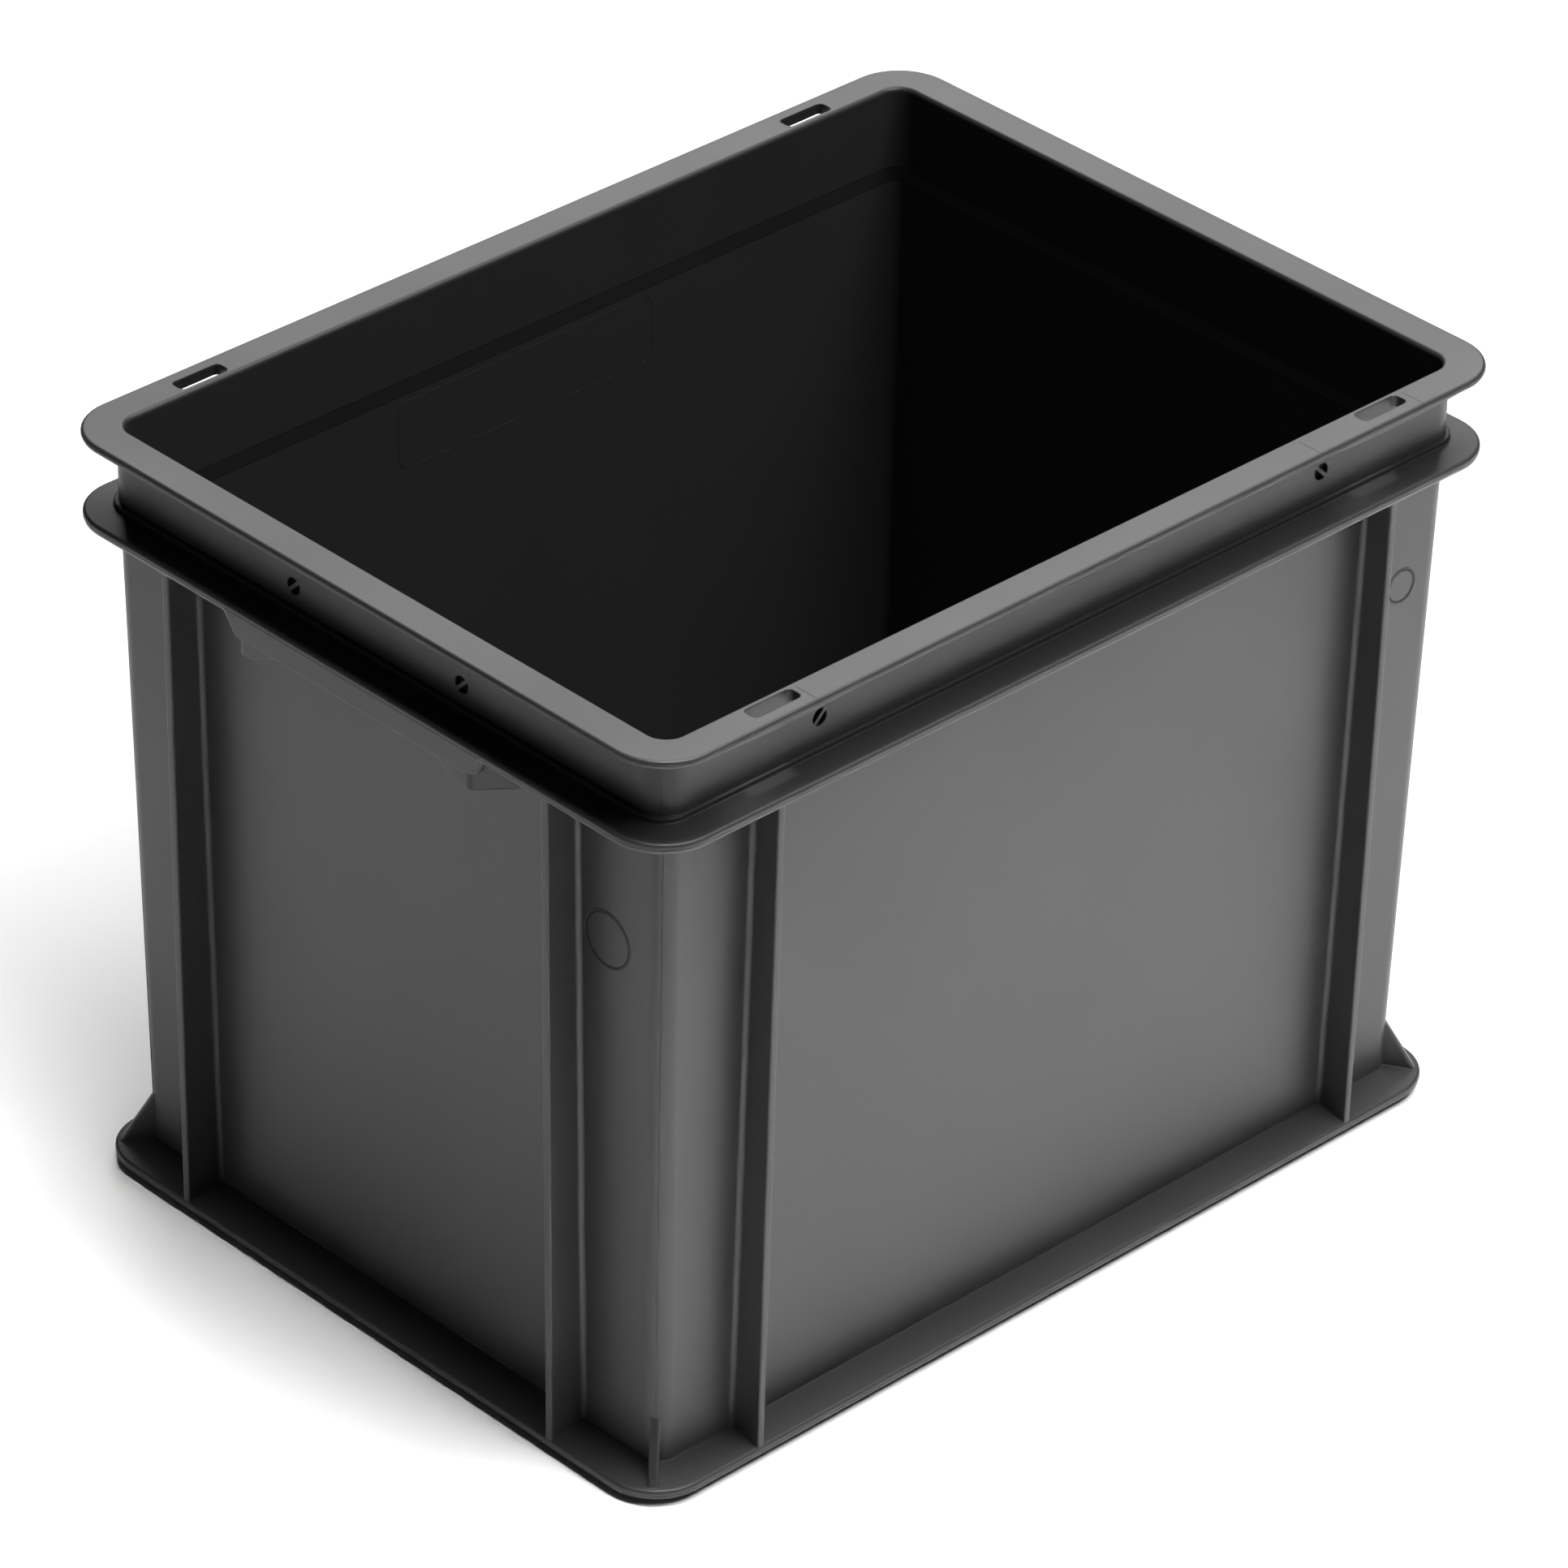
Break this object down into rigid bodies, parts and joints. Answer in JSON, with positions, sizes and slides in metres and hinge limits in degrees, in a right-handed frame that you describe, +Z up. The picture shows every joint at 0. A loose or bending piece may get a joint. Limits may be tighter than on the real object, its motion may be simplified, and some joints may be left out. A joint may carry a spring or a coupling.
{
  "type": "euro stacking container",
  "caption": "Open-topped rectangular stacking box with drafted walls, flanged rim, upright ribs, hand grips and a nesting foot.",
  "frame": {"origin": "centre of the footprint, at the underside of the nesting foot that the container stands on", "axes": "+X along the long side, +Y along the short side, +Z up through the open top"},
  "size_m": [0.4, 0.3, 0.3],
  "materials": {
    "polypropylene": "satin moulded polypropylene, dark grey"
  },
  "bodies": {
    "root": {"container": "polypropylene"}
  },
  "joints": []
}
